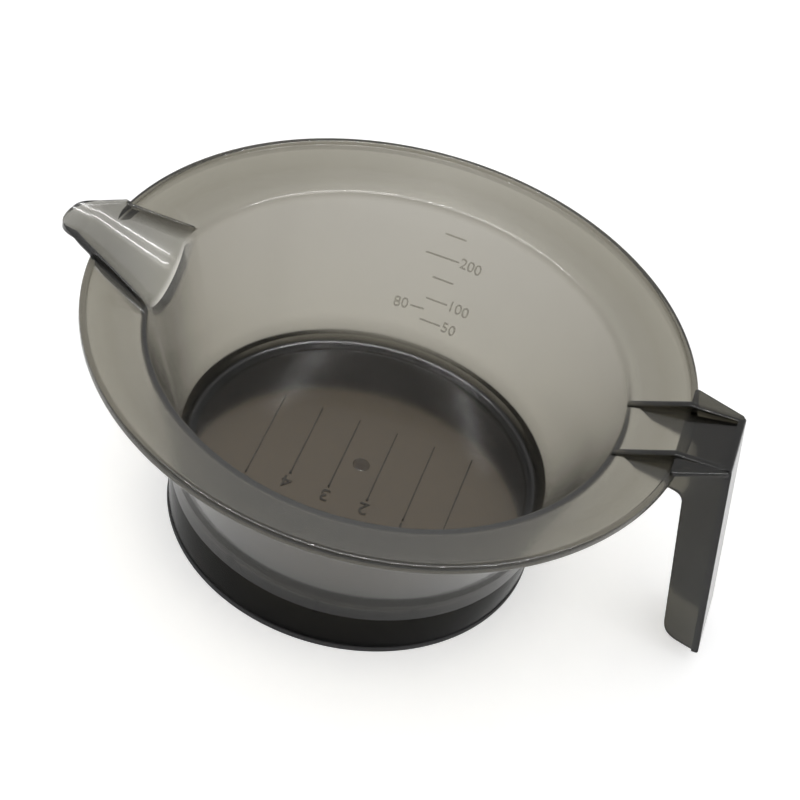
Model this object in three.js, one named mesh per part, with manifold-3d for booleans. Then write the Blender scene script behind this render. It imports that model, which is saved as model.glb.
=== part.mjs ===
// A hair colour mixing bowl: a tinted plastic moulding with a pouring spout, a flared brim and a
// hook-shaped handle, standing on a rubber anti-slip ring. Millimetres, +Z up. The pieces are drawn
// about the bowl's axis, with z = 0 at the plane it stands on, +X along the handle and -X along the
// spout. The whole bowl is then moved along X, so that the origin is at the middle of its footprint.
import * as THREE from 'three';
import { mergeVertices } from 'three/addons/utils/BufferGeometryUtils.js';
import Module from 'manifold-3d';

const wasm = await Module();
wasm.setup();

// Driving dimensions
const RIM_R = 73.5; // outer radius of the rolled lip
const RIM_Z = 61; // top of the rolled lip
const WALL = 1.6; // thickness of the moulding
const GAP = 0.3; // clearance between neighbouring pieces
const ROUND_STEPS = 96; // facets round the bowl

const LIP_WIDTH = 1.7;
const LIP_DROP = 2.6; // from the top of the lip to its underside
const BRIM = { innerR: 57.5, innerZ: 55.9, outerZ: 60 };
const WELL = { bottomR: 44.1, bottomZ: 16.8 };
const FLOOR = { r: 41.5, topZ: 16.1, ledgeZ: 16.8, outerR: 45.1, undersideZ: 14.5 };
const SKIRT = { bottomZ: 1.5, bottomR: 46.2, shoulderZ: 12, shoulderR: 46.9, topZ: 17.8 };
const RING = { innerR: 44.4, outerR: 46.4, height: 1.2 };
const FOOT_RIB = { count: 12, firstAngle: 5, thickness: 1, innerR: 41.6, height: 4.4 };

const SPOUT = {
  tipX: -83.5, // outermost point
  tipR: 7.8, // rounding of the tip seen from above
  topZ: 63, // height of the pouring edge
  wall: 2,
  axisZ: 68.4, // the trough is part of a cone with a level axis at this height
  mouthX: -57, // where the trough opens into the well
  mouthR: 18.9, // radius of the cone there
  taper: 0.55, // change of the cone's radius per mm of length
  bendX: -78, // outside this the cone tapers less, so that the trough runs out over the tip
  tipTaper: 0.13,
  mouthTopZ: 56.9,
  rimHalf: 11.7, // half width of the spout where it leaves the rim, at x = -72
  rimX: -72,
};

const HANDLE = {
  halfWidth: 9.9,
  wall: 1.8,
  topZ: 63,
  cornerX: 84.4, // outer face just under the top corner
  cornerZ: 61,
  footX: 93.2, // outer face at the lower end
  footZ: 5.6,
  endZ: 3.4,
  deckBackZ: 62.2, // top of the channel's floor at the outer wall
  depth: 10.3, // from the outer face to the free edge of the side walls
  gussetRimHalf: 15.4, // half width of the top plate at the rim
  gussetTipHalf: 10.6, // half width of the top plate at the outer corner
};
const WEB = { tipX: 60.6, tipZ: 54.4, bendX: 63.5, bendZ: 53.6, cornerZ: 51.3 }; // under the brim
const REST = { startX: 56.8, startZ: 56.2, bendX: 70.3, bendZ: 62.5 }; // brush rest ribs

const SMOKE = { color: 0x6f6b62, roughness: 0.3, metalness: 0 };
const RUBBER = { color: 0x161616, roughness: 0.75, metalness: 0 };

// Solids

function solidOf(geometry) {
  const bare = geometry.clone();
  bare.deleteAttribute('normal');
  bare.deleteAttribute('uv');
  const merged = mergeVertices(bare, 1e-4);
  return new wasm.Manifold(new wasm.Mesh({
    numProp: 3,
    vertProperties: new Float32Array(merged.attributes.position.array),
    triVerts: new Uint32Array(merged.index.array),
  }));
}

function geometryOf(solid) {
  const mesh = solid.getMesh();
  const geometry = new THREE.BufferGeometry();
  geometry.setAttribute('position', new THREE.BufferAttribute(mesh.vertProperties, 3));
  geometry.setIndex(new THREE.BufferAttribute(mesh.triVerts, 1));
  geometry.computeVertexNormals();
  return geometry;
}

// A body turned about Z from [radius, height] points listed anticlockwise.
function turned(points) {
  const onAxis = points[0][0] === 0;
  const profile = onAxis ? points : [...points, points[0]];
  const vectors = profile.map(([r, z]) => new THREE.Vector2(r, z));
  return solidOf(new THREE.LatheGeometry(vectors, ROUND_STEPS).rotateX(Math.PI / 2));
}

function shapeOf(points) {
  return new THREE.Shape(points.map(([a, b]) => new THREE.Vector2(a, b)));
}

// A side view outline [x, z] given thickness along Y from y0 to y1.
function sideSlab(shape, y0, y1) {
  const geometry = new THREE.ExtrudeGeometry(shape, {
    depth: y1 - y0, bevelEnabled: false, curveSegments: 8,
  });
  return solidOf(geometry.rotateX(Math.PI / 2).translate(0, y1, 0));
}

// A plan outline [x, y] given height from z0 to z1.
function planSlab(shape, z0, z1) {
  const geometry = new THREE.ExtrudeGeometry(shape, {
    depth: z1 - z0, bevelEnabled: false, curveSegments: 12,
  });
  return solidOf(geometry.translate(0, 0, z0));
}

function box(x0, x1, y0, y1, z0, z1) {
  const geometry = new THREE.BoxGeometry(x1 - x0, y1 - y0, z1 - z0);
  return solidOf(geometry.translate((x0 + x1) / 2, (y0 + y1) / 2, (z0 + z1) / 2));
}

// Bowl

const wellSlope = (BRIM.innerR - WELL.bottomR) / (BRIM.innerZ - WELL.bottomZ);
const wellRadius = (z) => WELL.bottomR + (z - WELL.bottomZ) * wellSlope;
const brimOuterR = RIM_R - LIP_WIDTH;
const brimSlope = (BRIM.outerZ - BRIM.innerZ) / (brimOuterR - BRIM.innerR);
const brimHeight = (r) => BRIM.innerZ + (r - BRIM.innerR) * brimSlope;
const brimUndersideZ = BRIM.innerZ - WALL;

// Radius of the trough about its level axis.
function troughRadius(x) {
  const straight = Math.max(x, SPOUT.bendX);
  return SPOUT.mouthR + (straight - SPOUT.mouthX) * SPOUT.taper + (x - straight) * SPOUT.tipTaper;
}

// The round body that the spout's trough follows, with its wall offset outward by thickness.
function spoutCone(thickness) {
  const stations = [SPOUT.tipX - 4, SPOUT.bendX, SPOUT.mouthX + 8];
  const profile = [
    new THREE.Vector2(0, stations[0]),
    ...stations.map((x) => new THREE.Vector2(troughRadius(x) + thickness, x)),
    new THREE.Vector2(0, stations[2]),
  ];
  const geometry = new THREE.LatheGeometry(profile, 48);
  return solidOf(geometry.rotateZ(-Math.PI / 2).translate(0, 0, SPOUT.axisZ));
}

const brimEnvelope = turned([
  [BRIM.innerR - WALL, 40], [RIM_R + GAP, 40], [RIM_R + GAP, RIM_Z + GAP],
  [brimOuterR - GAP, RIM_Z + GAP], [brimOuterR - GAP, brimHeight(brimOuterR) + GAP],
  [BRIM.innerR - GAP, BRIM.innerZ + GAP], [BRIM.innerR - WALL, BRIM.innerZ + GAP],
]);

function wellWall() {
  const z0 = WELL.bottomZ + GAP;
  const z1 = brimUndersideZ - GAP;
  const ring = turned([
    [wellRadius(z0), z0], [wellRadius(z0) + WALL, z0], [wellRadius(z1) + WALL, z1], [wellRadius(z1), z1],
  ]);
  return ring.subtract(spoutNotch);
}

function wellFloor() {
  return turned([
    [0, FLOOR.undersideZ], [FLOOR.outerR, FLOOR.undersideZ], [FLOOR.outerR, FLOOR.ledgeZ],
    [FLOOR.r + 0.4, FLOOR.ledgeZ], [FLOOR.r, FLOOR.topZ], [0, FLOOR.topZ],
  ]);
}

function brim() {
  const outerR = brimOuterR - GAP;
  const ring = turned([
    [wellRadius(brimUndersideZ), brimUndersideZ], [BRIM.innerR + WALL / 2, brimUndersideZ],
    [outerR, brimHeight(outerR) - WALL], [outerR, brimHeight(outerR)], [BRIM.innerR, BRIM.innerZ],
  ]);
  return ring.subtract(spoutNotch);
}

// The rolled edge of the brim, in two arcs: it stops at the spout and at the handle's channel.
function rimLip(side) {
  const middle = RIM_R - LIP_WIDTH / 2;
  const half = LIP_WIDTH / 2;
  const bottomZ = RIM_Z - LIP_DROP;
  const profile = [[middle - half, bottomZ + 0.4], [middle, bottomZ], [middle + half, bottomZ + 0.5]];
  for (let step = 0; step <= 6; step += 1) {
    const angle = (step * Math.PI) / 6;
    profile.push([middle + half * Math.cos(angle), RIM_Z - half + half * Math.sin(angle)]);
  }
  const handleGate = HANDLE.halfWidth + GAP;
  const arc = turned(profile)
    .subtract(spoutNotch)
    .subtract(box(RIM_R - 10, RIM_R + 1, -handleGate, handleGate, 50, 70))
    .intersect(box(-RIM_R - 1, RIM_R + 1, 0, RIM_R + 1, 50, 70));
  return side > 0 ? arc : arc.mirror([0, 1, 0]);
}

function footSkirt() {
  const topOuter = wellRadius(SKIRT.topZ) + WALL + GAP;
  return turned([
    [SKIRT.bottomR - WALL, SKIRT.bottomZ], [SKIRT.bottomR, SKIRT.bottomZ],
    [SKIRT.shoulderR, SKIRT.shoulderZ], [SKIRT.shoulderR + 0.1, SKIRT.topZ - 1],
    [SKIRT.shoulderR, SKIRT.topZ], [topOuter, SKIRT.topZ],
    [FLOOR.outerR + GAP, WELL.bottomZ - WALL / 2], [SKIRT.shoulderR - WALL, SKIRT.shoulderZ],
  ]);
}

function footRib() {
  const topZ = FLOOR.undersideZ - GAP;
  const outerR = SKIRT.shoulderR - WALL - 2 * GAP;
  const outline = shapeOf([
    [FOOT_RIB.innerR, topZ], [FOOT_RIB.innerR, topZ - FOOT_RIB.height / 3],
    [outerR - 1, topZ - FOOT_RIB.height], [outerR, topZ - FOOT_RIB.height], [outerR, topZ],
  ]);
  return sideSlab(outline, -FOOT_RIB.thickness / 2, FOOT_RIB.thickness / 2);
}

function antiSlipRing() {
  const soft = 0.3;
  return turned([
    [RING.innerR, 0], [RING.outerR, 0], [RING.outerR, RING.height - soft],
    [RING.outerR - soft, RING.height], [RING.innerR, RING.height],
  ]);
}

// Spout

const spoutTop = sideSlab(shapeOf([
  [SPOUT.mouthX + 6, 30], [SPOUT.mouthX + 6, SPOUT.mouthTopZ], [SPOUT.mouthX, SPOUT.mouthTopZ],
  [-brimOuterR, SPOUT.topZ], [SPOUT.tipX - 5, SPOUT.topZ], [SPOUT.tipX - 5, 30],
]), -30, 30);
const spoutNotch = spoutCone(SPOUT.wall + GAP).intersect(box(-100, SPOUT.mouthX + 6, -30, 30, 30, 80));

function spout() {
  const tipCentreX = SPOUT.tipX + SPOUT.tipR;
  const reach = Math.hypot(SPOUT.rimX - tipCentreX, SPOUT.rimHalf);
  const tangent = Math.atan2(SPOUT.rimHalf, SPOUT.rimX - tipCentreX) + Math.acos(SPOUT.tipR / reach);
  const plan = new THREE.Shape();
  plan.moveTo(SPOUT.mouthX + 6, 26);
  plan.lineTo(SPOUT.rimX, SPOUT.rimHalf);
  plan.absarc(tipCentreX, 0, SPOUT.tipR, tangent, 2 * Math.PI - tangent, false);
  plan.lineTo(SPOUT.rimX, -SPOUT.rimHalf);
  plan.lineTo(SPOUT.mouthX + 6, -26);
  const wellSpace = turned([
    [0, 30], [wellRadius(30), 30], [BRIM.innerR, BRIM.innerZ], [BRIM.innerR, 70], [0, 70],
  ]);
  return spoutCone(SPOUT.wall)
    .intersect(planSlab(plan, 40, 70))
    .intersect(spoutTop)
    .subtract(spoutCone(0))
    .subtract(wellSpace);
}

// Handle, given by its side view in the XZ plane

const lean = (HANDLE.footX - HANDLE.cornerX) / (HANDLE.cornerZ - HANDLE.footZ);
const outerFaceX = (z) => HANDLE.cornerX + (HANDLE.cornerZ - z) * lean;
const rimStartX = RIM_R + GAP;

function handleOuterWall() {
  const inset = HANDLE.wall;
  const top = HANDLE.topZ;
  const shape = new THREE.Shape();
  shape.moveTo(outerFaceX(top) - inset, top);
  shape.lineTo(outerFaceX(top) - 0.9, top);
  shape.quadraticCurveTo(outerFaceX(top), top, outerFaceX(top - 1), top - 1);
  shape.lineTo(HANDLE.footX, HANDLE.footZ);
  const endX = outerFaceX(HANDLE.endZ);
  shape.quadraticCurveTo(endX, HANDLE.endZ + 0.4, endX - inset, HANDLE.endZ);
  shape.closePath();
  return sideSlab(shape, -HANDLE.halfWidth, HANDLE.halfWidth);
}

// The side walls' outline, from the web under the brim to the outer wall, with a rounded lower
// corner.
function handleSideShape() {
  const backX = (z) => outerFaceX(z) - HANDLE.wall - GAP;
  const freeX = (z) => outerFaceX(z) - HANDLE.depth;
  const underBrimZ = (x) => brimHeight(Math.hypot(x, HANDLE.halfWidth - HANDLE.wall)) - WALL - 2 * GAP;
  const shape = new THREE.Shape();
  shape.moveTo(rimStartX, HANDLE.topZ - 0.4);
  shape.lineTo(rimStartX, RIM_Z - LIP_DROP - GAP);
  shape.lineTo(rimStartX - 2.6, RIM_Z - LIP_DROP - 2 * GAP);
  shape.lineTo(WEB.tipX, underBrimZ(WEB.tipX));
  shape.lineTo(WEB.tipX, WEB.tipZ);
  shape.lineTo(WEB.bendX, WEB.bendZ);
  shape.lineTo(freeX(WEB.cornerZ) - 4, WEB.cornerZ + 0.8);
  shape.quadraticCurveTo(freeX(WEB.cornerZ), WEB.cornerZ, freeX(47.3), 47.3);
  shape.lineTo(freeX(10.3), 10.3);
  shape.bezierCurveTo(freeX(6), 6.2, freeX(4) + 3.5, 4.2, backX(HANDLE.endZ), HANDLE.endZ);
  shape.lineTo(backX(HANDLE.topZ), HANDLE.topZ);
  shape.closePath();
  return shape;
}

function handleSideWall(side) {
  const inner = HANDLE.halfWidth - HANDLE.wall;
  const y0 = side > 0 ? inner : -HANDLE.halfWidth;
  return sideSlab(handleSideShape(), y0, y0 + HANDLE.wall);
}

// Floor of the channel between the rim and the outer wall, rising outward.
function handleDeck() {
  const half = HANDLE.halfWidth - HANDLE.wall - GAP;
  const topZ = BRIM.outerZ;
  const backZ = HANDLE.deckBackZ;
  const deck = sideSlab(shapeOf([
    [brimOuterR - 3, topZ - WALL], [outerFaceX(backZ - WALL) - HANDLE.wall - GAP, backZ - WALL],
    [outerFaceX(backZ) - HANDLE.wall - GAP, backZ], [brimOuterR - 3, topZ],
  ]), -half, half);
  return deck.subtract(turned([[0, 40], [brimOuterR, 40], [brimOuterR, 70], [0, 70]]));
}

// Rib that a brush rests against, running out across the brim to the handle.
function brushRestRib(side) {
  const inner = HANDLE.halfWidth - HANDLE.wall;
  const y0 = side > 0 ? inner : -HANDLE.halfWidth;
  const shape = new THREE.Shape();
  shape.moveTo(REST.startX, REST.startZ - 2);
  shape.lineTo(rimStartX - 2 * GAP, REST.startZ - 2);
  shape.lineTo(rimStartX - 2 * GAP, REST.bendZ);
  shape.lineTo(REST.bendX, REST.bendZ);
  shape.lineTo(REST.startX + 1.2, REST.startZ + 0.8);
  shape.quadraticCurveTo(REST.startX, REST.startZ + 0.3, REST.startX, REST.startZ - 2);
  const belowBrim = turned([
    [BRIM.innerR - 5, 40], [RIM_R + 1, 40], [RIM_R + 1, brimHeight(RIM_R + 1) + GAP],
    [BRIM.innerR, BRIM.innerZ + GAP], [BRIM.innerR - 5, BRIM.innerZ + GAP],
  ]);
  return sideSlab(shape, y0, y0 + HANDLE.wall).subtract(belowBrim);
}

// Triangular plate that ties the rim to the handle beside each rib.
function handleGusset(side) {
  const innerY = HANDLE.halfWidth + GAP;
  const outerX = outerFaceX(HANDLE.topZ) - 0.6;
  const plan = shapeOf([
    [rimStartX - 8, innerY], [outerX, innerY], [outerX, HANDLE.gussetTipHalf],
    [RIM_R - 1.6, HANDLE.gussetRimHalf], [rimStartX - 8, HANDLE.gussetRimHalf],
  ]);
  const slope = sideSlab(shapeOf([
    [60, 60], [outerX + 1, 61.2], [outerX + 1, HANDLE.topZ - 0.2], [60, 61.6],
  ]), 0, 20);
  const plate = planSlab(plan, 55, 65).intersect(slope).subtract(brimEnvelope);
  const kept = plate.subtract(turned([[0, 50], [RIM_R - 0.8, 50], [RIM_R - 0.8, 70], [0, 70]]));
  return side > 0 ? kept : kept.mirror([0, 1, 0]);
}

// Assembly

const bowl = new THREE.Group();

function addPiece(name, solid, finish, angle = 0) {
  const mesh = new THREE.Mesh(geometryOf(solid), new THREE.MeshStandardMaterial(finish));
  mesh.name = name;
  mesh.rotation.z = angle;
  bowl.add(mesh);
}

addPiece('well_floor', wellFloor(), SMOKE);
addPiece('well_wall', wellWall(), SMOKE);
addPiece('brim', brim(), SMOKE);
addPiece('pouring_spout', spout(), SMOKE);
addPiece('foot_skirt', footSkirt(), SMOKE);
addPiece('handle_deck', handleDeck(), SMOKE);
addPiece('handle_outer_wall', handleOuterWall(), SMOKE);
for (const [label, side] of [['left', 1], ['right', -1]]) {
  addPiece(`rim_lip_${label}`, rimLip(side), SMOKE);
  addPiece(`handle_side_wall_${label}`, handleSideWall(side), SMOKE);
  addPiece(`handle_gusset_${label}`, handleGusset(side), SMOKE);
  addPiece(`brush_rest_rib_${label}`, brushRestRib(side), SMOKE);
}
for (let index = 0; index < FOOT_RIB.count; index += 1) {
  const angle = THREE.MathUtils.degToRad(FOOT_RIB.firstAngle + (index * 360) / FOOT_RIB.count);
  const number = String(index + 1).padStart(2, '0');
  addPiece(`foot_rib_${number}`, footRib(), SMOKE, angle);
}
addPiece('anti_slip_ring', antiSlipRing(), RUBBER);

const extent = new THREE.Box3().setFromObject(bowl);
bowl.position.x = -(extent.min.x + extent.max.x) / 2;

export default bowl;
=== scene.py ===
"""A smoke-tinted hair colour bowl: one translucent moulding on a black rubber ring."""

import math

import bpy
import bmesh
from mathutils import Matrix, Vector


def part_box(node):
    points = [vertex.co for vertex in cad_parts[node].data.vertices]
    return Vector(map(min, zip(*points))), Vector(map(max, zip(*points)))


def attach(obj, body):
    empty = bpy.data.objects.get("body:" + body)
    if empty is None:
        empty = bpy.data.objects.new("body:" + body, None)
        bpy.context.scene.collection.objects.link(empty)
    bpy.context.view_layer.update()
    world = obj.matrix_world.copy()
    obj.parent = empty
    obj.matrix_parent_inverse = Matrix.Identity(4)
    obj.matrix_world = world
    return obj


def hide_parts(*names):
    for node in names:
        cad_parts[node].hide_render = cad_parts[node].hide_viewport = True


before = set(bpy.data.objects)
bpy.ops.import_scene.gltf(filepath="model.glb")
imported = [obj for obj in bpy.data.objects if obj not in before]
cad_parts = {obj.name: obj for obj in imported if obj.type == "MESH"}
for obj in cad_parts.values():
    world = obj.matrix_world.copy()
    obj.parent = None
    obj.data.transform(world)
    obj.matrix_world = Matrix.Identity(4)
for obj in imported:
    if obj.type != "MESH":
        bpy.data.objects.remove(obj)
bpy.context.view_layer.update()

MM = 0.001

# Driving dimensions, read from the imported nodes.
ring_low, ring_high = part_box("anti_slip_ring")
lip_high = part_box("rim_lip_left")[1]
floor_low, floor_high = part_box("well_floor")
skirt_low, skirt_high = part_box("foot_skirt")
spout_low, spout_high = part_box("pouring_spout")
arm_low, arm_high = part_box("handle_outer_wall")

AXIS_X = (ring_low[0] + ring_high[0]) / 2
RIM_R = lip_high[1]
RIM_Z = lip_high[2]
RING_R = (ring_high[0] - ring_low[0]) / 2
RING_HEIGHT = ring_high[2]
SKIRT_R = skirt_high[1]
SKIRT_BOTTOM = skirt_low[2]
FLOOR_UNDERSIDE = floor_low[2]
LEDGE_Z = floor_high[2]
ARM_HALF = arm_high[1]
ARM_TOP = arm_high[2]
ARM_END = arm_low[2]
ARM_FOOT_X = arm_high[0] - AXIS_X - 0.3 * MM
SPOUT_TIP_X = spout_low[0] - AXIS_X
SPOUT_TOP = spout_high[2]

WALL = 1.6 * MM
LIP_WIDTH = 1.7 * MM
LIP_DROP = 2.5 * MM
BRIM_INNER_R, BRIM_INNER_Z = 57.5 * MM, 55.9 * MM
BRIM_OUTER_Z = 60.0 * MM
WELL_BOTTOM_R = 44.1 * MM
FLOOR_R, FLOOR_Z = 41.5 * MM, LEDGE_Z - 0.7 * MM
BOWL_STEPS = 288
ABOVE_ALL = 80 * MM  # a height clear of the whole part

WELL_SLOPE = (BRIM_INNER_R - WELL_BOTTOM_R) / (BRIM_INNER_Z - LEDGE_Z)
BRIM_OUTER_R = RIM_R - LIP_WIDTH
BRIM_SLOPE = (BRIM_OUTER_Z - BRIM_INNER_Z) / (BRIM_OUTER_R - BRIM_INNER_R)


def well_radius(z):
    return WELL_BOTTOM_R + (z - LEDGE_Z) * WELL_SLOPE


def brim_height(r):
    return BRIM_INNER_Z + (r - BRIM_INNER_R) * BRIM_SLOPE


# ---------------------------------------------------------------- mesh helpers


def rounded(points, steps=5, closed=True):
    """An outline through (a, b, radius) corners, with each corner turned into an arc."""
    out = []
    count = len(points)
    for i, (a, b, radius) in enumerate(points):
        here = Vector((a, b))
        inside = closed or 0 < i < count - 1
        if radius <= 0 or not inside:
            out.append(here)
            continue
        before = Vector(points[i - 1][:2]) - here
        after = Vector(points[(i + 1) % count][:2]) - here
        half = before.angle(after) / 2
        reach = min(radius / math.tan(half), 0.49 * before.length, 0.49 * after.length)
        start = here + before.normalized() * reach
        end = here + after.normalized() * reach
        for k in range(steps + 1):
            t = k / steps
            out.append(start * (1 - t) ** 2 + here * (2 * t * (1 - t)) + end * t**2)
    return out


def mesh_object(name, verts, faces):
    mesh = bpy.data.meshes.new(name)
    mesh.from_pydata([tuple(v) for v in verts], [], faces)
    mesh.validate()
    obj = bpy.data.objects.new(name, mesh)
    bpy.context.collection.objects.link(obj)
    return obj


def make_solid(obj):
    """Merges doubled points and turns every face outward."""
    bm = bmesh.new()
    bm.from_mesh(obj.data)
    bmesh.ops.remove_doubles(bm, verts=bm.verts, dist=0.002 * MM)
    bmesh.ops.recalc_face_normals(bm, faces=bm.faces)
    bm.to_mesh(obj.data)
    bm.free()
    return obj


def turned(name, outline, steps=BOWL_STEPS):
    """A body turned about the bowl's upright axis from an outline of (radius, height)."""
    verts, faces = [], []
    for i in range(steps):
        angle = 2 * math.pi * i / steps
        c, s = math.cos(angle), math.sin(angle)
        for a, b in outline:
            verts.append((AXIS_X + a * c, a * s, b))
    n = len(outline)
    for i in range(steps):
        j = (i + 1) % steps
        for k in range(n):
            m = (k + 1) % n
            faces.append((i * n + k, j * n + k, j * n + m, i * n + m))
    return make_solid(mesh_object(name, verts, faces))


def prism(name, first, last):
    """A closed body between two outlines that have the same number of points."""
    n = len(first)
    faces = [tuple(range(n)), tuple(range(2 * n - 1, n - 1, -1))]
    faces += [(k, (k + 1) % n, n + (k + 1) % n, n + k) for k in range(n)]
    return make_solid(mesh_object(name, first + last, faces))


def slab(name, outline, low, high, plane):
    """An outline given thickness from low to high. plane is the plane that it's drawn in."""

    def layer(t):
        if plane == "xz":
            return [(AXIS_X + a, t, b) for a, b in outline]
        return [(AXIS_X + a, b, t) for a, b in outline]

    return prism(name, layer(low), layer(high))


def combine(target, tool, operation):
    """Joins, cuts or intersects target with tool, and removes tool."""
    mod = target.modifiers.new("combine", "BOOLEAN")
    mod.operation = operation
    mod.solver = "EXACT"
    mod.object = tool
    apply_modifiers(target)
    bpy.data.objects.remove(tool, do_unlink=True)
    return target


def apply_modifiers(obj):
    graph = bpy.context.evaluated_depsgraph_get()
    mesh = bpy.data.meshes.new_from_object(obj.evaluated_get(graph))
    obj.modifiers.clear()
    obj.data = mesh


def soften(obj, width, segments=3, angle=40):
    mod = obj.modifiers.new("edge", "BEVEL")
    mod.width = width
    mod.segments = segments
    mod.limit_method = "ANGLE"
    mod.angle_limit = math.radians(angle)
    mod.use_clamp_overlap = True
    apply_modifiers(obj)
    return obj


def smooth(obj, angle=32):
    obj.data.shade_smooth()
    obj.data.set_sharp_from_angle(angle=math.radians(angle))


# ---------------------------------------------------------------- materials


def texture_noise(nt, scale, detail):
    """A cloud of noise laid out in the object's own space."""
    where = nt.nodes.new("ShaderNodeTexCoord")
    noise = nt.nodes.new("ShaderNodeTexNoise")
    noise.inputs["Scale"].default_value = scale
    noise.inputs["Detail"].default_value = detail
    nt.links.new(where.outputs["Object"], noise.inputs["Vector"])
    return noise.outputs["Fac"]


def object_axes(nt):
    """The X, Y and Z of each point in the object's own space."""
    where = nt.nodes.new("ShaderNodeTexCoord")
    axes = nt.nodes.new("ShaderNodeSeparateXYZ")
    nt.links.new(where.outputs["Object"], axes.inputs["Vector"])
    return axes.outputs


def add_bump(nt, shader, height, strength, distance):
    bump = nt.nodes.new("ShaderNodeBump")
    bump.inputs["Strength"].default_value = strength
    bump.inputs["Distance"].default_value = distance
    nt.links.new(height, bump.inputs["Height"])
    nt.links.new(bump.outputs["Normal"], shader.inputs["Normal"])


def map_range(nt, value, low, high, to_low=0.0, to_high=1.0):
    node = nt.nodes.new("ShaderNodeMapRange")
    node.inputs["From Min"].default_value = low
    node.inputs["From Max"].default_value = high
    node.inputs["To Min"].default_value = to_low
    node.inputs["To Max"].default_value = to_high
    nt.links.new(value, node.inputs["Value"])
    return node.outputs["Result"]


def mix_colour(nt, factor, a, b, blend="MIX"):
    node = nt.nodes.new("ShaderNodeMix")
    node.data_type = "RGBA"
    node.blend_type = blend
    for socket, value in ((node.inputs[0], factor), (node.inputs[6], a), (node.inputs[7], b)):
        if isinstance(value, bpy.types.NodeSocket):
            nt.links.new(value, socket)
        else:
            socket.default_value = value
    return node.outputs[2]


def tint_by_height(nt, tints_and_shade):
    """A tint for each height in millimetres, set to match the photo."""
    ramp = nt.nodes.new("ShaderNodeValToRGB")
    nt.links.new(map_range(nt, object_axes(nt)["Z"], 0.0, TINT_TOP), ramp.inputs["Fac"])
    stops = ramp.color_ramp.elements
    while len(stops) < len(tints_and_shade):
        stops.new(0.5)
    for stop, (height, colour) in zip(stops, tints_and_shade):
        stop.position = height * MM / TINT_TOP
        stop.color = (*colour, 1)
    return ramp.outputs["Color"]


def distance_from_axis(nt):
    where = nt.nodes.new("ShaderNodeTexCoord")
    flatten = nt.nodes.new("ShaderNodeMapping")
    flatten.inputs["Location"].default_value = (-AXIS_X, 0, 0)
    flatten.inputs["Scale"].default_value = (1, 1, 0)
    length = nt.nodes.new("ShaderNodeVectorMath")
    length.operation = "LENGTH"
    nt.links.new(where.outputs["Object"], flatten.inputs["Vector"])
    nt.links.new(flatten.outputs["Vector"], length.inputs[0])
    return length.outputs["Value"]


TINT_TOP = 64 * MM
FOOT_TOP = 14.3 * MM
SPOUT_SPREAD = 0.42
SPOUT_EDGE = 42.0 * MM  # of half width less SPOUT_SPREAD times the place along the spout
SPOUT_EDGE_SOFT = 0.4 * MM
SPOUT_MASK_FULL, SPOUT_MASK_NONE = 57.6 * MM, 56 * MM  # how far out the spout's painted shade sets in
SPOUT_SHADE_NEAR, SPOUT_SHADE_FAR = 57 * MM, 68 * MM  # where it runs from the mouth's to the tip's
# Painted shade by height: near black over the skirt and foot, darkening below 24 mm towards the
# floor's shoulder, and a darker band over the brim from 57 to 60 mm.
BOWL_TINTS_AND_SHADE = [
    (1, (0.02, 0.02, 0.02)),
    (13, (0.05, 0.05, 0.048)),
    (15, (0.12, 0.118, 0.112)),
    (17, (0.45, 0.445, 0.42)),
    (19.5, (0.70, 0.69, 0.66)),
    (24, (0.90, 0.89, 0.86)),
    (54, (0.90, 0.89, 0.87)),
    (57, (0.53, 0.515, 0.46)),
    (60, (0.53, 0.515, 0.46)),
    (62, (0.86, 0.85, 0.83)),
]
# Painted shade: the well's floor is tinted darker to offset the stage floor's glow, which lights it
# from below.
FLOOR_SHADE_TINT = (0.35, 0.305, 0.25, 1)
# Painted shade in the spout, darkest at the mouth and lighter towards the tip.
SPOUT_SHADE_MOUTH = (0.40, 0.395, 0.36, 1)
SPOUT_SHADE_TIP = (0.54, 0.545, 0.54, 1)
# Painted shade on the handle: darker than the bowl throughout, darkest towards its foot and above
# 60.4 mm over the channel.
HANDLE_TINTS_AND_SHADE = [
    (1, (0.2, 0.195, 0.165)),
    (14, (0.24, 0.235, 0.20)),
    (28, (0.36, 0.35, 0.30)),
    (57.8, (0.36, 0.35, 0.30)),
    (58.4, (0.34, 0.33, 0.29)),
    (60, (0.34, 0.33, 0.29)),
    (60.4, (0.12, 0.116, 0.10)),
]
# Painted shade: the gussets beyond the side walls are tinted darker still.
GUSSET_SHADE_TINT = (0.2, 0.195, 0.16, 1)
# Painted shade: the ribs under the floor are tinted darker than the bowl.
RIB_SHADE_TINTS = [(1, (0.3, 0.3, 0.28)), (63, (0.3, 0.3, 0.28))]
# Painted shade on the floor's marks below 18 mm; the wall's marks are lighter.
MARK_TINTS_AND_SHADE = [(1, (0.35, 0.34, 0.32)), (18, (0.35, 0.34, 0.32)), (20, (0.78, 0.77, 0.74))]


def along_and_sideways(nt):
    """X, and the distance from the XZ plane."""
    axes = object_axes(nt)
    size = nt.nodes.new("ShaderNodeMath")
    size.operation = "ABSOLUTE"
    nt.links.new(axes["Y"], size.inputs[0])
    return axes["X"], size.outputs["Value"]


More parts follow.
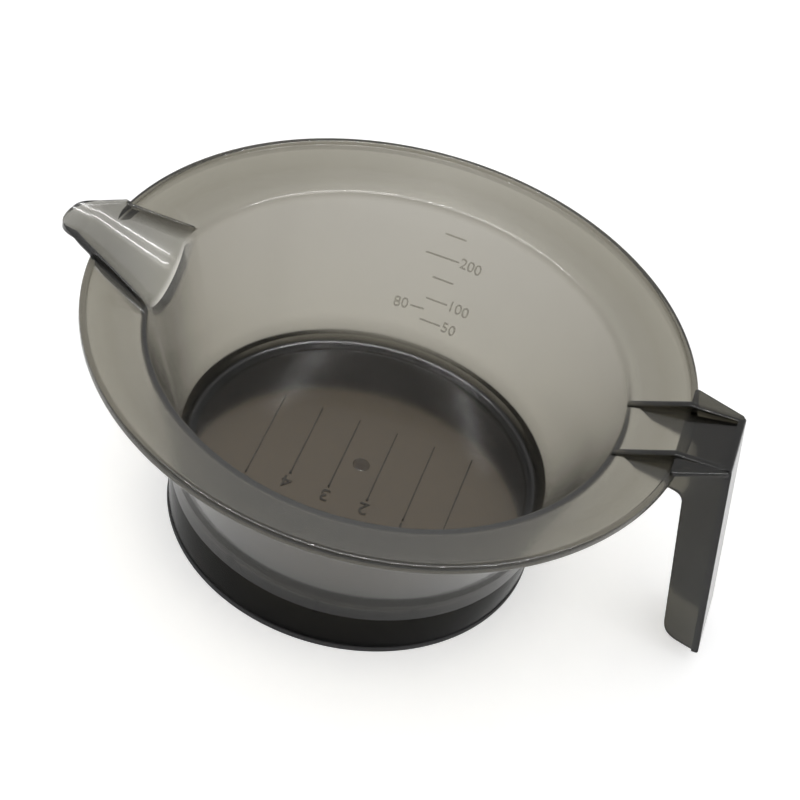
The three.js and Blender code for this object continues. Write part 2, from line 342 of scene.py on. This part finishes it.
def inside_spout(nt):
    """1 between the spout's two crests and 0 elsewhere, with a soft border."""
    along, sideways = along_and_sideways(nt)
    spread = nt.nodes.new("ShaderNodeMath")
    spread.operation = "MULTIPLY_ADD"
    spread.inputs[1].default_value = -SPOUT_SPREAD
    nt.links.new(along, spread.inputs[0])
    nt.links.new(sideways, spread.inputs[2])
    edge = SPOUT_EDGE - SPOUT_SPREAD * AXIS_X
    low, high = edge - SPOUT_EDGE_SOFT, edge + SPOUT_EDGE_SOFT
    within = map_range(nt, spread.outputs["Value"], low, high, 1.0, 0.0)
    low, high = AXIS_X - SPOUT_MASK_FULL, AXIS_X - SPOUT_MASK_NONE
    outward = map_range(nt, along, low, high, 1.0, 0.0)
    both = nt.nodes.new("ShaderNodeMath")
    both.operation = "MULTIPLY"
    nt.links.new(within, both.inputs[0])
    nt.links.new(outward, both.inputs[1])
    return both.outputs["Value"], along


def smoke_plastic(
    name, depth, tints_and_shade, floor_shade_tint=None, gusset_shade_tint=None, shine=(0.5, 0.3), ior=1.34
):
    """Satin plastic with a painted tint at its surface that carries painted shade by height and
    place, and a dye that deepens inside.
    """
    mat = bpy.data.materials.new(name)
    mat.use_nodes = True
    nt = mat.node_tree
    shader = nt.nodes["Principled BSDF"]
    shader.inputs["Transmission Weight"].default_value = 0.98
    shader.inputs["IOR"].default_value = ior
    shader.inputs["Specular IOR Level"].default_value = shine[0]
    shader.inputs["Coat Weight"].default_value = shine[1]
    shader.inputs["Coat Roughness"].default_value = 0.05
    # The height table paints shade onto the surface tint.
    tint = tint_by_height(nt, tints_and_shade)
    # Painted shade on the well's floor and in the spout, laid over the height table.
    if floor_shade_tint:
        past_floor = map_range(nt, distance_from_axis(nt), FLOOR_R, FLOOR_R + 0.4 * MM)
        tint = mix_colour(nt, past_floor, floor_shade_tint, tint)
        in_spout, along = inside_spout(nt)
        towards_tip = map_range(nt, along, AXIS_X - SPOUT_SHADE_NEAR, AXIS_X - SPOUT_SHADE_FAR)
        spout_shade = mix_colour(nt, towards_tip, SPOUT_SHADE_MOUTH, SPOUT_SHADE_TIP)
        tint = mix_colour(nt, in_spout, tint, spout_shade)
    # Painted shade on the gussets beyond the side walls.
    if gusset_shade_tint:
        past_arm = map_range(nt, along_and_sideways(nt)[1], ARM_HALF, ARM_HALF + 0.2 * MM)
        tint = mix_colour(nt, past_arm, tint, gusset_shade_tint)
    cloud = texture_noise(nt, 60, 4)
    mottle = mix_colour(nt, cloud, (0.96, 0.96, 0.96, 1), (1, 0.995, 0.98, 1))
    tint = mix_colour(nt, 1.0, tint, mottle, "MULTIPLY")
    nt.links.new(tint, shader.inputs["Base Color"])
    haze = map_range(nt, cloud, 0.0, 1.0, 0.16, 0.26)
    nt.links.new(haze, shader.inputs["Roughness"])
    add_bump(nt, shader, texture_noise(nt, 900, 2), 0.06, 0.05 * MM)
    volume = nt.nodes.new("ShaderNodeVolumeAbsorption")
    volume.inputs["Color"].default_value = (0.46, 0.44, 0.38, 1)
    volume.inputs["Density"].default_value = depth
    nt.links.new(volume.outputs["Volume"], nt.nodes["Material Output"].inputs["Volume"])
    return mat


def black_rubber():
    mat = bpy.data.materials.new("black_rubber")
    mat.use_nodes = True
    nt = mat.node_tree
    shader = nt.nodes["Principled BSDF"]
    grain = texture_noise(nt, 1400, 6)
    tone = nt.nodes.new("ShaderNodeValToRGB")
    tone.color_ramp.elements[0].color = (0.008, 0.008, 0.009, 1)
    tone.color_ramp.elements[1].color = (0.022, 0.022, 0.023, 1)
    shader.inputs["Roughness"].default_value = 0.72
    nt.links.new(grain, tone.inputs["Fac"])
    nt.links.new(tone.outputs["Color"], shader.inputs["Base Color"])
    add_bump(nt, shader, grain, 0.3, 0.08 * MM)
    return mat


def floor_paint():
    """A pale floor that gives off some light itself, as the strip lamps don't light it."""
    mat = bpy.data.materials.new("stage_floor")
    mat.use_nodes = True
    shader = mat.node_tree.nodes["Principled BSDF"]
    shader.inputs["Base Color"].default_value = (0.95, 0.95, 0.95, 1)
    shader.inputs["Roughness"].default_value = 0.9
    shader.inputs["Emission Color"].default_value = (1, 1, 1, 1)
    shader.inputs["Emission Strength"].default_value = 0.4
    return mat


# FOOT_SMOKE shares one closed body with SMOKE. Light that enters by one and leaves by the other
# keeps the first one's absorption outside the plastic, which makes the foot darker than it is.
SMOKE = smoke_plastic("smoke_plastic", 900, BOWL_TINTS_AND_SHADE, FLOOR_SHADE_TINT, shine=(0.5, 0.3))
GRIP_SMOKE = smoke_plastic(
    "smoke_plastic_handle", 1400, HANDLE_TINTS_AND_SHADE, gusset_shade_tint=GUSSET_SHADE_TINT, shine=(0.3, 0.2)
)
RIB_SMOKE = smoke_plastic("smoke_plastic_rib", 1800, RIB_SHADE_TINTS)
MARKS = smoke_plastic("smoke_marks", 1200, MARK_TINTS_AND_SHADE)
FOOT_SMOKE = smoke_plastic("smoke_plastic_foot", 900, BOWL_TINTS_AND_SHADE, shine=(0.1, 0.0), ior=1.1)
RUBBER = black_rubber()


def piece(obj, material, replaces=(), angle=32):
    obj.data.materials.clear()
    obj.data.materials.append(material)
    if obj.type == "MESH":
        smooth(obj, angle)
    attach(obj, "root")
    if replaces:
        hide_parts(*replaces)
    return obj


# ---------------------------------------------------------------- spout

TROUGH_MOUTH_X = -57.0 * MM
TROUGH_MOUTH_BOTTOM = 49.5 * MM
TROUGH_MOUTH_AXIS = 66.8 * MM
TROUGH_RISE = 0.55  # of the trough's bottom, per unit of length towards the tip
TROUGH_TIP_RISE = 0.13  # the same, past TROUGH_BEND_X
TROUGH_BEND_X = -78.0 * MM
TROUGH_AXIS_RISE = 0.167
SPOUT_TIP_R = 7.8 * MM
SPOUT_RIM_X = -72.0 * MM
SPOUT_RIM_HALF = 11.7 * MM
SPOUT_MOUTH_TOP = 57.5 * MM
SPOUT_WALL = 2.0 * MM
TIP_WALL, MOUTH_WALL = 1.4 * MM, 1.0 * MM
FLANK_WIDE, FLANK_NARROW = 2.4 * MM, 1.7 * MM
FLANK_NARROW_X, FLANK_WIDE_X = -71.5 * MM, -67 * MM
PLAN_HALF = 26 * MM
PLAN_SHOULDER_X, PLAN_SHOULDER_HALF = -70.5 * MM, 15.5 * MM
TIP_STEPS = 32
SPOUT_SECTIONS = 40
ARC_STEPS = 24
CREST = 0.8 * MM  # thickness of the spout's upper edge where it stands on the brim


def trough_bottom(x):
    straight = max(x, TROUGH_BEND_X)
    rise = (TROUGH_MOUTH_X - straight) * TROUGH_RISE + (straight - x) * TROUGH_TIP_RISE
    return TROUGH_MOUTH_BOTTOM + rise


def trough_axis(x):
    return TROUGH_MOUTH_AXIS + (TROUGH_MOUTH_X - x) * TROUGH_AXIS_RISE


def trough_radius(x):
    return trough_axis(x) - trough_bottom(x)


def ridge_height(x):
    """Height of the spout's upper edge: level past the rim, falling to the well's edge."""
    t = (TROUGH_MOUTH_X + 2 * MM - x) / (TROUGH_MOUTH_X + 2 * MM + BRIM_OUTER_R)
    return SPOUT_MOUTH_TOP + (SPOUT_TOP - 0.1 * MM - SPOUT_MOUTH_TOP) * min(max(t, 0.0), 1.0)


def ease(value, low, high):
    """0 below low, 1 above high, and a smooth step between."""
    t = min(max((value - low) / (high - low), 0.0), 1.0)
    return t * t * (3 - 2 * t)


def bend(start, corner, end, steps):
    """Points of a curve from start to end that leans towards corner."""
    points = []
    for k in range(steps + 1):
        t = k / steps
        points.append(tuple(
            (1 - t) ** 2 * p + 2 * t * (1 - t) * q + t * t * r
            for p, q, r in zip(start, corner, end)
        ))
    return points


def loft(name, sections):
    """A closed body through sections given as (x, [(y, z), ...]) from one end to the other."""
    n = len(sections[0][1])
    verts = [(AXIS_X + x, y, z) for x, outline in sections for y, z in outline]
    faces = [tuple(range(n)), tuple(range(len(verts) - 1, len(verts) - n - 1, -1))]
    for i in range(len(sections) - 1):
        for k in range(n):
            m = (k + 1) % n
            faces.append((i * n + k, (i + 1) * n + k, (i + 1) * n + m, i * n + m))
    return make_solid(mesh_object(name, verts, faces))


def both_sides(half):
    """A whole outline from its +Y half, listed from the bottom to the top."""
    return half + [(-y, z) for y, z in reversed(half) if y > 0]


def arc_up_to(x, radius, height, steps):
    """The lower right part of a circle about the trough's axis at x, from its bottom to height."""
    axis_z = trough_axis(x)
    end = math.acos(min((axis_z - height) / radius, 1.0))
    angles = [end * k / steps for k in range(steps + 1)]
    return [(radius * math.sin(t), axis_z - radius * math.cos(t)) for t in angles]


def mixed(a, b, t):
    """The point, or the number, t of the way from a to b."""
    if isinstance(a, tuple):
        return tuple(p + (q - p) * t for p, q in zip(a, b))
    return a + (b - a) * t


def trough_half(x):
    """Half of the trough's hollow: a round bottom, then sides that roll outward over the crest."""
    opening = max(0.0, (x - (TROUGH_MOUTH_X - 2.5 * MM)) / (4 * MM))
    radius = trough_radius(x) + 0.8 * MM * min(opening, 1.6) ** 2
    crest = ridge_height(x)
    roll = 0.3 * MM
    half = arc_up_to(x, radius, crest - roll, ARC_STEPS)
    edge = arc_up_to(x, radius, crest, 1)[-1][0]
    half += bend(half[-1], (edge, crest), (edge + roll, crest + 0.03 * MM), 5)[1:]
    return half + [(edge + roll, ABOVE_ALL)]


def spout_half(x):
    """Half of the spout's outside: a round bottom, a flank that runs out onto the brim, a crest."""
    radius = trough_radius(x)
    crest = ridge_height(x)
    edge = arc_up_to(x, radius, crest, 1)[-1][0]
    wall = mixed(TIP_WALL, SPOUT_WALL, ease(x, SPOUT_TIP_X, SPOUT_TIP_X + 8 * MM))
    outside = radius + mixed(wall, MOUTH_WALL, ease(x, -BRIM_OUTER_R, TROUGH_MOUTH_X))
    on_brim = ease(x, -BRIM_OUTER_R - 1.2 * MM, -BRIM_OUTER_R + 1.5 * MM)
    width = mixed(FLANK_NARROW, FLANK_WIDE, ease(x, FLANK_NARROW_X, FLANK_WIDE_X))
    flank_y = edge + width
    flank_z = brim_height(math.hypot(x, flank_y)) - 0.1 * MM
    past_rim_foot = arc_up_to(x, outside, crest - 1.0 * MM, 1)[-1]
    past_rim_top = arc_up_to(x, outside, crest - 0.35 * MM, 1)[-1]
    foot = mixed(past_rim_foot, (flank_y, flank_z), on_brim)
    top = mixed(past_rim_top, (edge + CREST, crest - 0.35 * MM), on_brim)
    hollow = (edge + 0.4 * width, mixed(flank_z, crest, 0.35))
    lean = mixed(mixed(foot, top, 0.5), hollow, on_brim)
    arc_top = mixed(crest - 1.5 * MM, flank_z - 0.7 * MM, on_brim)
    half = arc_up_to(x, outside, arc_top, ARC_STEPS)
    half += bend(foot, lean, top, 6)
    return half + bend(top, (top[0], crest), (top[0] - 0.3 * MM, crest), 4)[1:]


def stations(start, end, count):
    return [start + (end - start) * i / count for i in range(count + 1)]


def trough():
    xs = stations(SPOUT_TIP_X - 0.2 * MM, TROUGH_MOUTH_X + 7 * MM, SPOUT_SECTIONS)
    return loft("trough", [(x, both_sides(trough_half(x))) for x in xs])


def spout_block():
    """The outside of the spout, ending inside the thickness of the well's wall."""
    xs = stations(SPOUT_TIP_X - 0.2 * MM, TROUGH_MOUTH_X + 6 * MM, SPOUT_SECTIONS)
    block = loft("spout_block", [(x, both_sides(spout_half(x))) for x in xs])
    tip = SPOUT_TIP_X + SPOUT_TIP_R
    mouth = TROUGH_MOUTH_X + 7 * MM
    shoulder = PLAN_SHOULDER_X, PLAN_SHOULDER_HALF
    reach = math.hypot(SPOUT_RIM_X - tip, SPOUT_RIM_HALF)
    touch = math.atan2(SPOUT_RIM_HALF, SPOUT_RIM_X - tip) + math.acos(SPOUT_TIP_R / reach)
    plan = [(mouth, PLAN_HALF), (mouth, -PLAN_HALF)]
    plan += [(shoulder[0], -shoulder[1]), (SPOUT_RIM_X, -SPOUT_RIM_HALF)]
    for k in range(TIP_STEPS + 1):
        angle = -touch - (2 * math.pi - 2 * touch) * k / TIP_STEPS
        plan.append((tip + SPOUT_TIP_R * math.cos(angle), SPOUT_TIP_R * math.sin(angle)))
    plan += [(SPOUT_RIM_X, SPOUT_RIM_HALF), shoulder]
    plan_slab = slab("plan", plan, 40 * MM, SPOUT_TOP - 0.08 * MM, "xy")
    soften(plan_slab, 0.4 * MM, angle=50)
    combine(block, plan_slab, "INTERSECT")
    half_wall = WALL / 2
    inside = [
        (0, 30 * MM),
        (well_radius(30 * MM) + half_wall, 30 * MM),
        (BRIM_INNER_R + half_wall, BRIM_INNER_Z),
        (BRIM_INNER_R + half_wall, ABOVE_ALL),
        (0, ABOVE_ALL),
    ]
    combine(block, turned("inside", inside), "DIFFERENCE")
    return block


# ---------------------------------------------------------------- bowl


def bowl_outline():
    lip_bottom = RIM_Z - LIP_DROP
    underside_r = BRIM_INNER_R + 1.2 * MM
    skirt_bottom_r = RING_R - 0.2 * MM
    return rounded([
        (0, FLOOR_Z, 0),
        (FLOOR_R, FLOOR_Z, 0.25 * MM),
        (FLOOR_R + 0.25 * MM, LEDGE_Z, 0.2 * MM),
        (WELL_BOTTOM_R, LEDGE_Z, 1.6 * MM),
        (BRIM_INNER_R, BRIM_INNER_Z, 1.6 * MM),
        (BRIM_OUTER_R, BRIM_OUTER_Z, 0.35 * MM),
        (BRIM_OUTER_R + 0.1 * MM, RIM_Z, 0.6 * MM),
        (RIM_R, RIM_Z, 0.7 * MM),
        (RIM_R, lip_bottom, 0.7 * MM),
        (BRIM_OUTER_R - 0.6 * MM, lip_bottom + 0.1 * MM, 0.8 * MM),
        (underside_r, brim_height(underside_r) - WALL - 0.1 * MM, 2.4 * MM),
        (well_radius(19.4 * MM) + WALL, 19.4 * MM, 2.5 * MM),
        (SKIRT_R, 17.2 * MM, 1.2 * MM),
        (SKIRT_R - 0.1 * MM, 12 * MM, 8 * MM),
        (skirt_bottom_r, SKIRT_BOTTOM, 0.5 * MM),
        (skirt_bottom_r - WALL, SKIRT_BOTTOM, 0.3 * MM),
        (SKIRT_R - WALL, 12 * MM, 8 * MM),
        (SKIRT_R - WALL, FLOOR_UNDERSIDE, 0.6 * MM),
        (0, FLOOR_UNDERSIDE, 0),
    ], closed=False)


def bowl_shell():
    """The bowl and its spout as one body, with the lip cut away where the handle's channel is."""
    bowl = turned("bowl_shell", bowl_outline())
    combine(bowl, spout_block(), "UNION")
    combine(bowl, trough(), "DIFFERENCE")
    inner, outer, half = BRIM_OUTER_R - 0.4 * MM, RIM_R + 2 * MM, 8.1 * MM
    opening = [(inner, -half), (outer, -half), (outer, half), (inner, half)]
    gate = slab("gate", opening, BRIM_OUTER_Z - 0.02 * MM, 70 * MM, "xy")
    combine(bowl, gate, "DIFFERENCE")
    return bowl


bowl = bowl_shell()
piece(bowl, SMOKE, replaces=(
    "well_floor", "well_wall", "brim", "rim_lip_left", "rim_lip_right", "pouring_spout", "foot_skirt",
))
bowl.data.materials.append(FOOT_SMOKE)
for face in bowl.data.polygons:
    outward = face.center.x - AXIS_X, face.center.y
    if face.center.z < FOOT_TOP and math.hypot(*outward) > FLOOR_R + 2 * MM:
        face.material_index = 1

# ---------------------------------------------------------------- handle

ARM_WALL = 1.8 * MM
ARM_DEPTH = 10.3 * MM
ARM_CORNER_X, ARM_CORNER_Z = 84.4 * MM, 61 * MM
ARM_LEAN = (ARM_FOOT_X - ARM_CORNER_X) / (ARM_CORNER_Z - 5.6 * MM)
REST_START_X, REST_START_Z = 56.8 * MM, 56.2 * MM
REST_BEND_X = 70.6 * MM
REST_TOP = ARM_TOP - 0.5 * MM
DECK_BACK_Z = 62.2 * MM
GUSSET_RIM_HALF, GUSSET_TIP_HALF = 15.4 * MM, 10.6 * MM
GUSSET_RIM_X = 71.9 * MM
HANDLE_START_X = 70.8 * MM
SIDES = {"left": 1, "right": -1}


def outer_face_x(z):
    return ARM_CORNER_X + (ARM_CORNER_Z - z) * ARM_LEAN


def inner_face_x(z):
    return outer_face_x(z) - ARM_DEPTH


def arm_span(side):
    """The low and high Y of one side wall."""
    inner = ARM_HALF - ARM_WALL
    return (inner, ARM_HALF) if side > 0 else (-ARM_HALF, -inner)


def arm_side(side):
    """One side wall of the handle, with the web that runs on under the brim."""
    outline = rounded([
        (70.5 * MM, 59.3 * MM, 0),
        (72.0 * MM, REST_TOP, 0),
        (outer_face_x(ARM_TOP), ARM_TOP, 1.6 * MM),
        (outer_face_x(ARM_END), ARM_END, 1.9 * MM),
        (inner_face_x(5.0 * MM) + 0.6 * MM, 6.2 * MM, 6.5 * MM),
        (inner_face_x(51.3 * MM), 51.3 * MM, 3.6 * MM),
        (63.5 * MM, 53.6 * MM, 3.0 * MM),
        (60.0 * MM, 55.9 * MM, 0),
    ], steps=10)
    low, high = arm_span(side)
    return soften(slab("arm_side", outline, low, high, "xz"), 0.3 * MM, angle=50)


def arm_back():
    """The outer wall that joins the two side walls."""
    outline = rounded([
        (outer_face_x(ARM_TOP) - ARM_WALL, ARM_TOP, 0),
        (outer_face_x(ARM_TOP), ARM_TOP, 1.6 * MM),
        (outer_face_x(ARM_END), ARM_END, 1.9 * MM),
        (outer_face_x(ARM_END) - ARM_WALL, ARM_END, 0),
    ], steps=10)
    return slab("arm_back", outline, -ARM_HALF + 0.1 * MM, ARM_HALF - 0.1 * MM, "xz")


def arm_deck():
    """The floor of the handle's channel, which rises outward."""
    half = ARM_HALF - ARM_WALL / 2
    back = outer_face_x(BRIM_OUTER_Z) - ARM_WALL / 2
    outline = [
        (HANDLE_START_X, BRIM_OUTER_Z - WALL),
        (back, DECK_BACK_Z - WALL),
        (back, DECK_BACK_Z),
        (HANDLE_START_X, BRIM_OUTER_Z - 0.15 * MM),
    ]
    return slab("arm_deck", outline, -half, half, "xz")


def rest_rib(side):
    """The low rib that a brush leans on, from the well's edge out to the handle."""
    slope_low = brim_height(REST_START_X) - 0.3 * MM
    outline = rounded([
        (REST_START_X, slope_low, 0),
        (REST_START_X + 0.1 * MM, REST_START_Z + 0.2 * MM, 0.4 * MM),
        (REST_BEND_X, REST_TOP, 1.2 * MM),
        (75.0 * MM, REST_TOP + 0.1 * MM, 0),
        (75.0 * MM, brim_height(72 * MM) - 0.4 * MM, 0),
    ], steps=6)
    low, high = arm_span(side)
    return soften(slab("rest_rib", outline, low, high, "xz"), 0.35 * MM, angle=50)


def gusset(side):
    """The three-cornered plate that ties the lip to the handle's outer corner."""
    outer_x = outer_face_x(ARM_TOP) - 0.5 * MM
    plan = rounded([
        (HANDLE_START_X, side * (ARM_HALF - ARM_WALL / 2), 0),
        (outer_x, side * (ARM_HALF - ARM_WALL / 2), 0),
        (outer_x, side * GUSSET_TIP_HALF, 0.6 * MM),
        (GUSSET_RIM_X, side * GUSSET_RIM_HALF, 0),
        (HANDLE_START_X, side * GUSSET_RIM_HALF, 0),
    ])
    plate = slab("gusset", plan, 0, 1.3 * MM, "xy")
    for vert in plate.data.vertices:
        along = (vert.co.x - AXIS_X - GUSSET_RIM_X) / (outer_x - GUSSET_RIM_X)
        vert.co.z += 60.75 * MM + along * 0.85 * MM
    return soften(plate, 0.35 * MM, angle=50)


def handle():
    body = arm_back()
    for side in SIDES.values():
        for part in (arm_side(side), rest_rib(side), gusset(side)):
            combine(body, part, "UNION")
    combine(body, arm_deck(), "UNION")
    return body


handle_piece = handle()
piece(handle_piece, GRIP_SMOKE, replaces=[
    "handle_deck", "handle_outer_wall",
    *(f"{part}_{label}" for label in SIDES
      for part in ("handle_side_wall", "handle_gusset", "brush_rest_rib")),
])

# ---------------------------------------------------------------- foot

FOOT_RIBS = 12
FOOT_RIB_FIRST = math.radians(5)
FOOT_RIB_INNER = 41.6 * MM


def foot_rib(number, angle):
    """A small bracket under the floor, between it and the skirt."""
    top = FLOOR_UNDERSIDE + 0.05 * MM
    outer = SKIRT_R - WALL + 0.05 * MM
    outline = rounded([
        (FOOT_RIB_INNER, top, 0),
        (FOOT_RIB_INNER, top - 1.5 * MM, 0.5 * MM),
        (outer - 1.2 * MM, top - 4.6 * MM, 0.6 * MM),
        (outer, top - 4.6 * MM, 0),
        (outer, top, 0),
    ])
    rib = slab(f"foot_rib_{number:02d}_moulded", outline, -0.5 * MM, 0.5 * MM, "xz")
    soften(rib, 0.15 * MM, angle=50)
    about_axis = Matrix.Translation((AXIS_X, 0, 0)) @ Matrix.Rotation(angle, 4, "Z")
    rib.data.transform(about_axis @ Matrix.Translation((-AXIS_X, 0, 0)))
    return piece(rib, RIB_SMOKE, replaces=[f"foot_rib_{number:02d}"])


for index in range(FOOT_RIBS):
    foot_rib(index + 1, FOOT_RIB_FIRST + 2 * math.pi * index / FOOT_RIBS)


def anti_slip_ring():
    """The rubber ring under the foot, with three fine grooves in its underside."""
    inner = RING_R - 2 * MM
    top = RING_HEIGHT + 0.25 * MM
    grooves = []
    for k in range(3):
        middle = inner + (0.55 + 0.45 * k) * MM
        grooves += [(middle - 0.12 * MM, 0, 0), (middle, 0.15 * MM, 0), (middle + 0.12 * MM, 0, 0)]
    outline = rounded([
        (inner, 0, 0.25 * MM),
        *grooves,
        (RING_R, 0, 0.35 * MM),
        (RING_R, top, 0.3 * MM),
        (inner, top, 0.2 * MM),
    ])
    ring = turned("anti_slip_ring_moulded", outline)
    return piece(ring, RUBBER, replaces=["anti_slip_ring"])


anti_slip_ring()

# ---------------------------------------------------------------- moulded marks

MARK_HEIGHT = 0.22 * MM
MARK_SINK = 0.06 * MM


def stroke(length, width):
    """A flat-bottomed raised line along +X with round ends, centred, in a plan outline."""
    half = length / 2 - width / 2
    outline = []
    for end in (1, -1):
        for k in range(9):
            angle = math.radians(-90 + 22.5 * k) + (0 if end > 0 else math.pi)
            outline.append((end * half + width / 2 * math.cos(angle), width / 2 * math.sin(angle)))
    return outline


def flat_solid(name, outline, height):
    """A mark's outline as a body, sunk a little below the surface that it stands on."""
    lower = [(a, b, -MARK_SINK) for a, b in outline]
    upper = [(a, b, height) for a, b in outline]
    return prism(name, lower, upper)


def figures(name, text, height):
    """Raised figures, centred on the origin in the XY plane."""
    curve = bpy.data.curves.new(name, "FONT")
    curve.body = text
    curve.align_x, curve.align_y = "CENTER", "CENTER"
    curve.size = height / 0.69
    curve.extrude = (MARK_HEIGHT + MARK_SINK) / 2
    curve.resolution_u = 4
    source = bpy.data.objects.new(name, curve)
    bpy.context.collection.objects.link(source)
    graph = bpy.context.evaluated_depsgraph_get()
    mesh = bpy.data.meshes.new_from_object(source.evaluated_get(graph))
    bpy.data.objects.remove(source, do_unlink=True)
    obj = bpy.data.objects.new(name, mesh)
    bpy.context.collection.objects.link(obj)
    mesh.transform(Matrix.Translation((0, 0, (MARK_HEIGHT - MARK_SINK) / 2)))
    return make_solid(obj)


def on_floor(obj, x, y, turn=0.0):
    obj.data.transform(
        Matrix.Translation((AXIS_X + x, y, FLOOR_Z)) @ Matrix.Rotation(turn, 4, "Z")
    )
    return obj


def on_wall(obj, azimuth, z):
    """Bends a flat mark round the inside of the well, with its +X running clockwise from above."""
    lean = math.atan(WELL_SLOPE)
    radius = well_radius(z)
    for vert in obj.data.vertices:
        along, up, out = vert.co
        angle = azimuth - along / radius
        r = radius + up * math.sin(lean) - out * math.cos(lean)
        height = z + up * math.cos(lean) + out * math.sin(lean)
        vert.co = (AXIS_X + r * math.cos(angle), r * math.sin(angle), height)
    return obj


def floor_scale():
    """Six ruled lines, a centimetre apart, numbered at their -Y ends for a reader at +Y."""
    far_end = 14.7 * MM
    near_ends = {0: 15.5, 1: 13.3, 2: 11.0, 3: 11.0, 4: 11.0, 5: 15.5}
    for value, near in near_ends.items():
        x = (25 - 10 * value) * MM
        length = far_end + near * MM
        line = flat_solid(f"floor_line_{value}", stroke(length, 0.38 * MM), MARK_HEIGHT)
        piece(on_floor(line, x, far_end - length / 2, math.pi / 2), MARKS)
        dot = flat_solid(f"floor_dot_{value}", stroke(0.7 * MM, 0.66 * MM), MARK_HEIGHT)
        piece(on_floor(dot, x, -near * MM), MARKS)
        figure = figures(f"floor_figure_{value}", str(value), 4.0 * MM)
        piece(on_floor(figure, x, -near * MM - 3.0 * MM, math.pi), MARKS)


def wall_scale():
    """Millilitre lines up the far side of the well, some of them labelled."""
    degree = math.radians(1)
    # Height in mm, the line's two ends in degrees, its figure, and the figure's middle in degrees.
    marks = [
        (49.9, 91.1, 85.1, "", 0), (44.0, 94.9, 85.1, "200", 81.6), (38.25, 91.1, 84.7, "", 0),
        (32.55, 91.2, 84.4, "100", 80.7), (29.5, 95.3, 90.8, "80", 98.2),
        (26.75, 91.3, 84.3, "50", 81.5),
    ]
    for number, (z, start, end, label, middle) in enumerate(marks, start=1):
        z *= MM
        length = (start - end) * degree * well_radius(z)
        line = flat_solid(f"wall_line_{number}", stroke(length, 0.36 * MM), MARK_HEIGHT)
        piece(on_wall(line, (start + end) / 2 * degree, z), MARKS)
        if label:
            figure = figures(f"wall_figure_{label}", label, 2.8 * MM)
            piece(on_wall(figure, middle * degree, z), MARKS)


def gate_mark():
    """The spot in the middle of the floor where the mould was filled: a pip in a shallow ring."""
    outline = rounded([
        (0, -MARK_SINK, 0),
        (2.15 * MM, -MARK_SINK, 0),
        (2.15 * MM, 0.08 * MM, 0),
        (2.0 * MM, 0.16 * MM, 0.1 * MM),
        (1.85 * MM, 0.05 * MM, 0),
        (0.75 * MM, 0.03 * MM, 0.1 * MM),
        (0.55 * MM, 0.35 * MM, 0.3 * MM),
        (0, 0.4 * MM, 0),
    ], closed=False)
    pip = turned("gate_mark", [(r, FLOOR_Z + z) for r, z in outline], steps=48)
    piece(pip, SMOKE)


floor_scale()
wall_scale()
gate_mark()

# ---------------------------------------------------------------- camera, lights and stage


CAMERA_AZIMUTH = math.radians(7)
CAMERA_ELEVATION = math.radians(42.478)
CAMERA_ROLL = math.radians(-14.686)
CAMERA_LENS = 99.545
CAMERA_DISTANCE = 7.0472 * RIM_R
CAMERA_AIM_RIGHT, CAMERA_AIM_UP = 0.0163 * RIM_R, -0.2177 * RIM_R
STAGE_HALF = 4


def photo_camera():
    """Looks down at 42 degrees from the -Y side, turned a little about its own view line."""
    rim_centre = Vector((AXIS_X, 0, RIM_Z))
    azimuth, elevation, roll = CAMERA_AZIMUTH, CAMERA_ELEVATION, CAMERA_ROLL
    back = Vector((
        math.sin(azimuth) * math.cos(elevation),
        -math.cos(azimuth) * math.cos(elevation),
        math.sin(elevation),
    ))
    level = Vector((math.cos(azimuth), math.sin(azimuth), 0))
    upward = back.cross(level)
    right = level * math.cos(roll) - upward * math.sin(roll)
    up = level * math.sin(roll) + upward * math.cos(roll)
    data = bpy.data.cameras.new("camera")
    data.lens = CAMERA_LENS
    data.clip_start = 0.01
    camera = bpy.data.objects.new("camera", data)
    bpy.context.collection.objects.link(camera)
    place = rim_centre + back * CAMERA_DISTANCE
    place += right * CAMERA_AIM_RIGHT + up * CAMERA_AIM_UP
    camera.matrix_world = Matrix((
        (right.x, up.x, back.x, place.x),
        (right.y, up.y, back.y, place.y),
        (right.z, up.z, back.z, place.z),
        (0, 0, 0, 1),
    ))
    bpy.context.scene.camera = camera


def strip_light(name, place, size, power):
    """A long narrow lamp overhead, along X, that makes highlights but lights no matt surface."""
    data = bpy.data.lights.new(name, "AREA")
    data.shape = "RECTANGLE"
    data.size, data.size_y = size
    data.energy = power
    light = bpy.data.objects.new(name, data)
    light.location = place
    light.visible_diffuse = False
    bpy.context.collection.objects.link(light)


def studio():
    world = bpy.data.worlds.new("studio")
    world.use_nodes = True
    world.node_tree.nodes["Background"].inputs["Color"].default_value = (1, 1, 1, 1)
    world.node_tree.nodes["Background"].inputs["Strength"].default_value = 0.8
    bpy.context.scene.world = world
    corners = [(a * STAGE_HALF, b * STAGE_HALF) for a, b in ((-1, -1), (1, -1), (1, 1), (-1, 1))]
    floor = slab("stage_floor", corners, -0.02, 0.0, "xy")
    floor.data.materials.append(floor_paint())
    for name, y in (("strip_near", -0.13), ("strip_far", 0.21)):
        strip_light(name, (0.2, y, 1.0), (1.4, 0.05), 9.0)
    bpy.context.scene.view_settings.view_transform = "Standard"


photo_camera()
studio()
